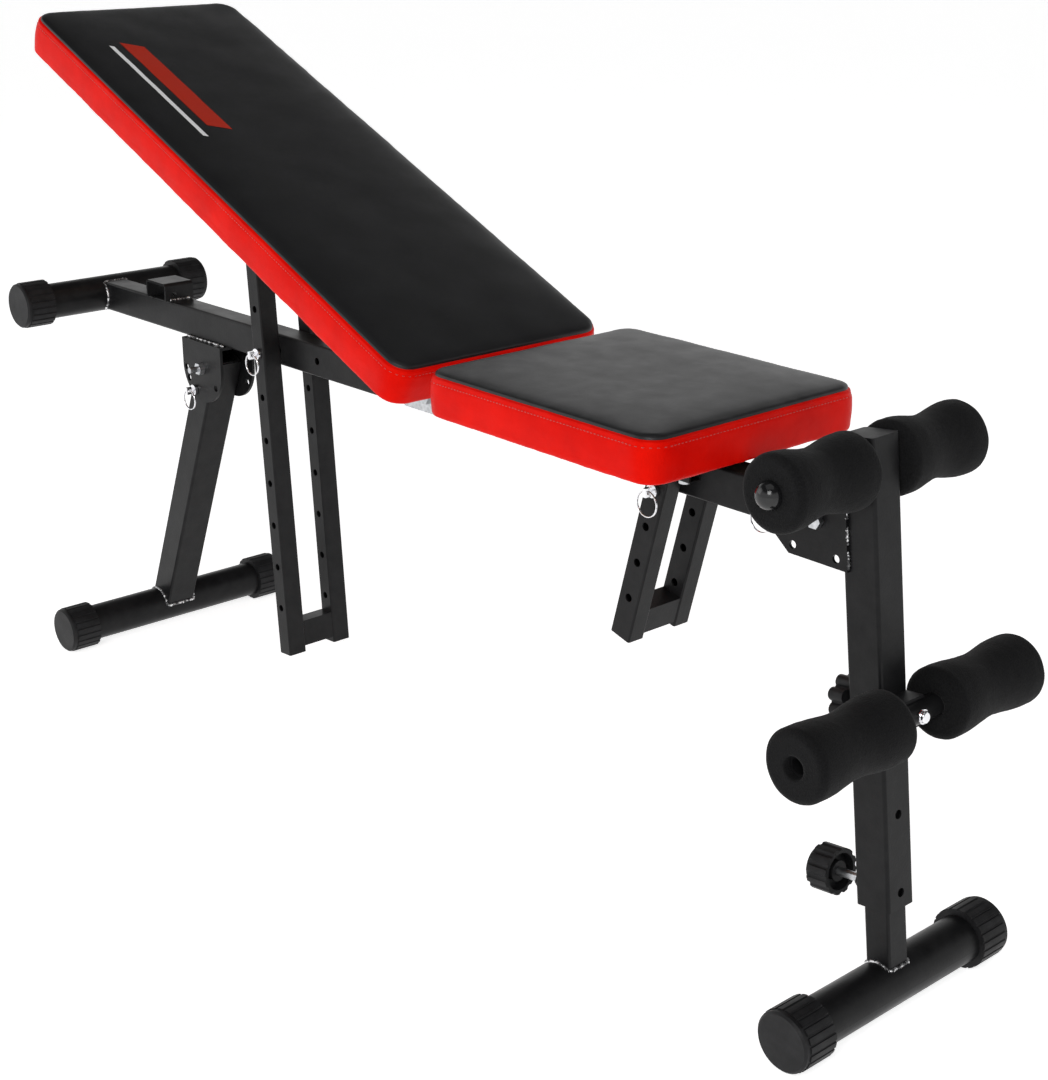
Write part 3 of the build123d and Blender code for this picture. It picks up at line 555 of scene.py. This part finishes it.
def sew(piece):
    """Seam groove, stitch channel and the puckers that the thread pulls in."""
    mesh = piece.data
    count = len(mesh.vertices)
    drop = np.zeros(count, np.float32)
    mesh.attributes["drop"].data.foreach_get("value", drop)
    co = np.zeros(count * 3, np.float32)
    mesh.vertices.foreach_get("co", co)
    co = co.reshape(-1, 3)
    normal = np.zeros(count * 3, np.float32)
    mesh.vertex_normals.foreach_get("vector", normal)
    normal = normal.reshape(-1, 3)
    groove = -0.9 * MM * np.exp(-((drop / (1.3 * MM)) ** 2))
    channel = -0.45 * MM * np.exp(-(((drop - STITCH_DROP) / (1.6 * MM)) ** 2))
    near_seam = np.exp(-((drop / (7 * MM)) ** 2))
    near_stitch = np.exp(-(((drop - STITCH_DROP) / (8 * MM)) ** 2))
    pucker = np.array([noise.noise(Vector(p) * 105.0) for p in co])
    broad = np.array([noise.noise(Vector(p) * 22.0) for p in co])
    under = np.exp(-(((drop - 47 * MM) / (9 * MM)) ** 2))
    move = groove + channel
    move += 0.32 * MM * pucker * (0.8 * near_seam + near_stitch)
    move += 0.45 * MM * broad + 0.6 * MM * under * pucker
    co += normal * move[:, None]
    mesh.vertices.foreach_set("co", co.ravel())
    mesh.update()


def cover_materials(piece):
    """Black panel inside the seam, red band outside and under it."""
    mesh = piece.data
    mesh.materials.clear()
    mesh.materials.append(TOP_VINYL)
    mesh.materials.append(SIDE_VINYL)
    drop = np.zeros(len(mesh.vertices), np.float32)
    mesh.attributes["drop"].data.foreach_get("value", drop)
    for face in mesh.polygons:
        middle = sum(drop[k] for k in face.vertices) / len(face.vertices)
        face.material_index = 1 if middle > 0 else 0


def capsule_row(name, spots, radius, half, material, body):
    """One mesh of small capsules: (centre, along, up) each, flattened towards the surface."""
    points, faces = [], []
    rings, around = 5, 8
    for centre, along, up in spots:
        side = up.cross(along).normalized()
        first = len(points)
        for r in range(rings + 1):
            t = -1 + 2 * r / rings
            wide = radius * math.sqrt(max(1 - abs(t) ** 3, 0.02))
            for a in range(around):
                turn = 2 * math.pi * a / around
                offset = side * (wide * math.cos(turn)) + up * (0.8 * wide * math.sin(turn))
                points.append(centre + along * (half * t) + offset)
        for r in range(rings):
            for a in range(around):
                b = (a + 1) % around
                row, upper = first + r * around, first + (r + 1) * around
                faces.append((row + a, row + b, upper + b, upper + a))
        faces.append(tuple(first + a for a in reversed(range(around))))
        faces.append(tuple(first + rings * around + a for a in range(around)))
    mesh = mesh_from(name, points, faces)
    return new_object(name, mesh, material, body)


def walk(outline, pitch):
    """Evenly spaced (x, y, normal) along a closed outline of (point, normal)."""
    spots, left = [], 0.0
    for k, (point, normal) in enumerate(outline):
        after, after_normal = outline[(k + 1) % len(outline)]
        a, b = Vector(point[:2]), Vector(after[:2])
        length = (b - a).length
        while left < length:
            t = left / length
            spots.append((a.lerp(b, t), normal.lerp(after_normal, t).normalized()))
            left += pitch
        left -= length
    return spots


def stitches(name, piece, outline, thick, axes, body):
    """Topstitching on the red band, laid on the swollen cover."""
    tree = BVHTree.FromObject(piece, bpy.context.evaluated_depsgraph_get())
    rows = side_profile(thick)
    inset, height, _ = min(rows, key=lambda row: abs(row[2] - STITCH_DROP))
    spots = []
    for point, normal in walk(outline, STITCH_PITCH):
        offset = normal * (EDGE_INSET - inset)
        target = Vector((point.x + offset.x, point.y + offset.y, height))
        near, up, _, _ = tree.find_nearest(target)
        along = Vector((-normal.y, normal.x, 0))
        spots.append((axes @ (near + up * 0.05 * MM), axes.to_3x3() @ along, axes.to_3x3() @ up))
    capsule_row(name, spots, 0.42 * MM, 1.45 * MM, RED_THREAD, body)


def staples(name, outline, axes, body):
    """Staples that hold the folded cover to the board."""
    spots = []
    for point, normal in walk(outline, STAPLE_PITCH):
        inward = point - normal * (11 * MM - EDGE_INSET)
        centre = Vector((inward.x, inward.y, -1.05 * MM))
        along = Vector((-normal.y, normal.x, 0))
        spots.append((axes @ centre, axes.to_3x3() @ along, axes.to_3x3() @ Vector((0, 0, -1))))
    capsule_row(name, spots, 0.5 * MM, 5 * MM, ZINC, body)


def make_print(name, piece, x_span, y_span, slant, material, axes, body):
    """Plain printed bar with slanted ends, laid on the cover's top."""
    tree = BVHTree.FromObject(piece, bpy.context.evaluated_depsgraph_get())
    columns, rows = 70, 8
    points, faces = [], []
    for i in range(columns + 1):
        for j in range(rows + 1):
            x = x_span[0] + (x_span[1] - x_span[0]) * i / columns + slant * j / rows
            y = y_span[0] + (y_span[1] - y_span[0]) * j / rows
            on_top = tree.ray_cast(Vector((x, y, 0.2)), Vector((0, 0, -1)))[0]
            points.append(axes @ (on_top + Vector((0, 0, 0.15 * MM))))
    for i in range(columns):
        for j in range(rows):
            a, b = i * (rows + 1) + j, (i + 1) * (rows + 1) + j
            faces.append((a, b, b + 1, a + 1))
    new_object(name, mesh_from(name, points, faces), material, body)


def make_pad(name, rear, start, length, bottom, thick):
    body = "backrest" if rear else "seat"
    mesh, outline = pad_cover(name, length, thick)
    piece = bpy.data.objects.new(name, mesh)
    bpy.context.scene.collection.objects.link(piece)
    drop = np.zeros(len(mesh.vertices), np.float32)
    mesh.attributes["drop"].data.foreach_get("value", drop)
    held = []
    for k, value in enumerate(drop):
        if value > 30 * MM:
            held.append((k, 1.0))
        elif abs(value) < 0.5 * MM:
            held.append((k, 0.35))
    swell(piece, held)
    subdivide(piece)
    sew(piece)
    cover_materials(piece)
    axes = pad_axes(rear) @ Matrix.Translation((start + length / 2, 0, bottom))
    stitches(name + "_stitches", piece, outline, thick, axes, body)
    staples(name + "_staples", outline, axes, body)
    if rear:
        red_x, red_y = (70 * MM, 262 * MM), (48 * MM, 72 * MM)
        white_x, white_y = (62 * MM, 268 * MM), (83 * MM, 88 * MM)
        make_print("backrest_red_bar", piece, red_x, red_y, 14 * MM, RED_INK, axes, body)
        make_print("backrest_white_bar", piece, white_x, white_y, 3 * MM, WHITE_INK, axes, body)
    piece.data.transform(axes)
    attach(piece, body)
    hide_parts(body + "_pad")


# ---- foam rollers ------------------------------------------------------------
def make_roller(node, waist, bore, seed):
    """Foam sleeve with soft rims, slightly uneven as pressed foam is."""
    low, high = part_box(node)
    axis_x, axis_z = (low.x + high.x) / 2, (low.z + high.z) / 2
    full = (high.z - low.z) / 2 - 0.3 * MM
    length = high.y - low.y

    def radius(t):
        dip = 0.5 - 0.5 * math.cos(2 * math.pi * min(max((t - 0.12) / 0.76, 0), 1))
        return full - (full - waist) * dip

    profile = [(bore, 0.6 * MM), (bore + 1.5 * MM, 0.1 * MM)]
    for k in range(1, 5):
        profile.append((bore + 1.5 * MM + (full - FOAM_EDGE - bore - 1.5 * MM) * k / 5, 0.25 * MM))
    for k in range(RIM_STEPS + 1):
        turn = math.pi / 2 * k / RIM_STEPS
        profile.append((full - FOAM_EDGE + FOAM_EDGE * math.sin(turn), FOAM_EDGE * (1 - math.cos(turn))))
    rim = list(profile)
    for k in range(1, FOAM_ALONG):
        y = FOAM_EDGE + (length - 2 * FOAM_EDGE) * k / FOAM_ALONG
        profile.append((radius(y / length), y))
    profile += [(r, length - y) for r, y in reversed(rim)]
    points, faces = [], []
    for r, y in profile:
        for a in range(FOAM_AROUND):
            turn = 2 * math.pi * a / FOAM_AROUND
            place_at = Vector((r * math.cos(turn), y, r * math.sin(turn)))
            lump = noise.noise(place_at * 38 + Vector((seed, 0, 0))) * 0.5
            lump += noise.noise(place_at * 150 + Vector((0, seed, 0))) * 0.22
            outer = min(1.0, (r - bore) / (4 * MM))
            push = lump * MM * outer
            x = axis_x + (r + push) * math.cos(turn)
            z = axis_z + (r + push) * math.sin(turn)
            points.append((x, low.y + y, z))
    rows = len(profile)
    for r in range(rows):
        here, after = r * FOAM_AROUND, (r + 1) % rows * FOAM_AROUND
        for a in range(FOAM_AROUND):
            b = (a + 1) % FOAM_AROUND
            faces.append((here + a, here + b, after + b, after + a))
    mesh = mesh_from(node + "_foam", points, faces)
    facing_out(mesh)
    piece = new_object(node + "_foam", mesh, FOAM, node)
    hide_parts(node)


# ---- split rings -------------------------------------------------------------
def make_ring(node):
    """Split ring: two turns of flat wound wire."""
    low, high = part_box(node)
    centre = (low + high) / 2
    wire = 0.62 * MM
    mean = (high.z - low.z) / 2 - wire
    steps, around, turns = 120, 8, 2.0
    points, faces = [], []
    for s in range(steps + 1):
        turn = math.pi / 2 + 2 * math.pi * turns * s / steps
        climb = (s / steps - 0.5) * 2.3 * wire
        out = Vector((math.cos(turn), 0, math.sin(turn)))
        for a in range(around):
            small = 2 * math.pi * a / around
            sideways = Vector((0, climb + wire * math.sin(small), 0))
            points.append(centre + out * (mean + wire * math.cos(small)) + sideways)
    for s in range(steps):
        row, upper = s * around, (s + 1) * around
        for a in range(around):
            b = (a + 1) % around
            faces.append((row + a, row + b, upper + b, upper + a))
    faces.append(tuple(range(around)))
    faces.append(tuple(steps * around + a for a in reversed(range(around))))
    mesh = mesh_from(node + "_wire", points, faces)
    facing_out(mesh)
    piece = new_object(node + "_wire", mesh, CHROME, node)
    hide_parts(node)


# ---- weld beads --------------------------------------------------------------
FOOT_TUBE_R = 22.3 * MM
REAR_BAR_R = 22 * MM


def weld(name, paths, radius, body, seed):
    """Rippled beads along open paths of points, as one piece."""
    rng = random.Random(seed)
    points, faces = [], []
    around = 8
    for path in paths:
        path = [Vector(p) for p in path]
        lengths = [0.0]
        for a, b in zip(path, path[1:]):
            lengths.append(lengths[-1] + (b - a).length)
        count = max(4, int(lengths[-1] / (0.55 * radius)))
        first = len(points)
        for s in range(count + 1):
            where = lengths[-1] * s / count
            k = max(i for i in range(len(path) - 1) if lengths[i] <= where + 1e-12)
            t = (where - lengths[k]) / max(lengths[k + 1] - lengths[k], 1e-9)
            centre = path[k].lerp(path[k + 1], min(t, 1))
            along = (path[k + 1] - path[k]).normalized()
            side = along.orthogonal().normalized()
            up = along.cross(side)
            end = min(1.0, 0.45 + 0.5 * min(s, count - s))
            ripple = 1 + 0.16 * math.sin(2 * math.pi * s / 3.6) + rng.uniform(-0.1, 0.1)
            wide = radius * ripple * end
            drift = side * rng.uniform(-0.12, 0.12) * radius + up * rng.uniform(-0.12, 0.12) * radius
            for a in range(around):
                turn = 2 * math.pi * a / around
                bulge = side * (wide * math.cos(turn))
                points.append(centre + drift + bulge + up * (wide * math.sin(turn)))
        for s in range(count):
            for a in range(around):
                b = (a + 1) % around
                row, upper = first + s * around, first + (s + 1) * around
                faces.append((row + a, row + b, upper + b, upper + a))
        faces.append(tuple(first + a for a in range(around)))
        faces.append(tuple(first + count * around + a for a in reversed(range(around))))
    mesh = mesh_from(name, points, faces)
    facing_out(mesh)
    return new_object(name, mesh, WELD, body)


def around_foot(centre, tube_radius, direction, half_width, half_depth):
    """Closed path where a rectangular tube meets a round cross tube (axis along Y)."""
    direction = Vector(direction).normalized()
    aside = Vector((-direction.z, 0, direction.x))
    corners = [(-1, -1), (-1, 1), (1, 1), (1, -1), (-1, -1)]
    path = []
    for (a0, y0), (a1, y1) in zip(corners, corners[1:]):
        for k in range(9):
            t = k / 8
            a = (a0 + (a1 - a0) * t) * half_depth
            y = (y0 + (y1 - y0) * t) * half_width
            reach = math.sqrt(max(tube_radius ** 2 - a ** 2, 0))
            path.append(Vector(centre) + aside * a + direction * reach + Vector((0, y, 0)))
    return path


def middle_of(node):
    low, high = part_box(node)
    return (low + high) / 2


def make_welds():
    post_up = Vector(JOINTS["front_foot_telescope"]["axis"]) * -1
    front_foot = middle_of("front_foot_tube")
    weld("front_foot_weld", [around_foot(front_foot, FOOT_TUBE_R, post_up, 13.0 * MM, 13.4 * MM)],
         1.7 * MM, "front_foot", 1)
    rear_foot = middle_of("rear_foot_tube")
    leg_up = pivot("rear_leg_fold") - Vector((rear_foot.x, 0, rear_foot.z))
    leg_up.y = 0
    weld("rear_foot_weld", [around_foot(rear_foot, FOOT_TUBE_R, leg_up, 20.0 * MM, 18.7 * MM)],
         1.9 * MM, "rear_leg", 2)
    bar = middle_of("rear_cross_tube")
    weld("rear_bar_weld", [around_foot(bar, REAR_BAR_R, (1, 0, -0.05), 15.7 * MM, 17.5 * MM)],
         1.8 * MM, "frame", 3)
    low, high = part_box("leg_bracket")
    top = high.z - 0.2 * MM
    edges = []
    for y in (-17.0 * MM, 17.0 * MM):
        edges.append([(low.x + 2 * MM, y, top + 0.2 * MM), (high.x - 2 * MM, y, top + 0.9 * MM)])
    weld("leg_bracket_weld", edges, 1.6 * MM, "frame", 4)
    low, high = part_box("bridge_bracket")
    feet = []
    for x, z in ((low.x - 0.6 * MM, low.z + 0.3 * MM), (high.x + 0.6 * MM, low.z + 1.2 * MM)):
        feet.append([(x, -14 * MM, z), (x, 14 * MM, z)])
    weld("bridge_bracket_weld", feet, 1.5 * MM, "frame", 5)
    low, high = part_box("post_gussets")
    lean = Vector((post_up.x / post_up.z, 0, 1))
    seams = []
    for y in (-18.6 * MM, 18.6 * MM):
        base = Vector((high.x - 0.3 * MM, y, low.z + 2 * MM))
        for start, end in ((0, 16), (21, 37), (43, 60)):
            seams.append([base + lean * (start * MM), base + lean * (end * MM)])
    weld("gusset_weld", seams, 1.5 * MM, "front_post", 6)


# ---- stage -------------------------------------------------------------------
FLOOR_HALF = 60
LIGHTS_AIM = Vector((0, 0, 0.4))


def make_stage():
    corners = [(-1, -1), (1, -1), (1, 1), (-1, 1)]
    mesh = mesh_from("floor", [(x * FLOOR_HALF, y * FLOOR_HALF, 0) for x, y in corners], [(0, 1, 2, 3)])
    floor = bpy.data.objects.new("floor", mesh)
    mesh.materials.append(pale_floor())
    bpy.context.scene.collection.objects.link(floor)


def make_lights():
    """Backdrop that is bright at the horizon and dark overhead, and three soft lights."""
    world = bpy.data.worlds.new("studio")
    bpy.context.scene.world = world
    world.use_nodes = True
    tree = world.node_tree
    back = tree.nodes["Background"]
    where = tree.nodes.new("ShaderNodeTexCoord")
    parts = tree.nodes.new("ShaderNodeSeparateXYZ")
    tree.links.new(where.outputs["Generated"], parts.inputs["Vector"])
    bright = ramp(tree, parts.outputs["Z"], 1.0, 0.06, (0.36, 0.6))
    tree.links.new(bright, back.inputs["Color"])
    back.inputs["Strength"].default_value = 1.0
    soft_boxes = (
        ("key", (2.2, -2.6, 2.6), 1.6, 60),
        ("fill", (-2.4, -2.2, 1.8), 2.2, 16),
        ("top", (0.5, -0.4, 3.2), 2.4, 10),
    )
    for name, spot, size, watts in soft_boxes:
        data = bpy.data.lights.new(name, "AREA")
        data.size = size
        data.energy = watts
        light = bpy.data.objects.new(name, data)
        light.location = spot
        light.rotation_euler = (LIGHTS_AIM - Vector(spot)).to_track_quat("-Z", "Y").to_euler()
        bpy.context.scene.collection.objects.link(light)


def make_camera():
    azimuth, pitch = math.radians(48.764), math.radians(20.018)
    data = bpy.data.cameras.new("camera")
    data.sensor_fit = "VERTICAL"
    data.sensor_height = 36
    data.lens = 61.8
    data.shift_x = 0.0027
    data.shift_y = 0.0011
    data.clip_end = 60
    camera = bpy.data.objects.new("camera", data)
    camera.location = (1.48333, -1.1635, 0.9476)
    camera.rotation_euler = (math.pi / 2 - pitch, 0, azimuth)
    bpy.context.scene.collection.objects.link(camera)
    bpy.context.scene.camera = camera


dress_frame()
make_pad("backrest_cushion", True, BACK_START, BACK_LENGTH, BACK_BOTTOM, BACK_THICK)
make_pad("seat_cushion", False, SEAT_START, SEAT_LENGTH, SEAT_BOTTOM, SEAT_THICK)
ROLLERS = (("upper", 28 * MM, 9.5 * MM), ("lower", 28.5 * MM, 10 * MM))
for row, (level, waist, bore) in enumerate(ROLLERS):
    for k, side in enumerate(("near", "far")):
        make_roller(f"{level}_roller_{side}", waist, bore, seed=3.0 * row + 7.0 * k)
for lock in ("backrest", "seat", "post", "leg"):
    make_ring(f"{lock}_lock_ring")
make_welds()
make_stage()
make_lights()
make_camera()
bpy.context.scene.view_settings.view_transform = "Standard"
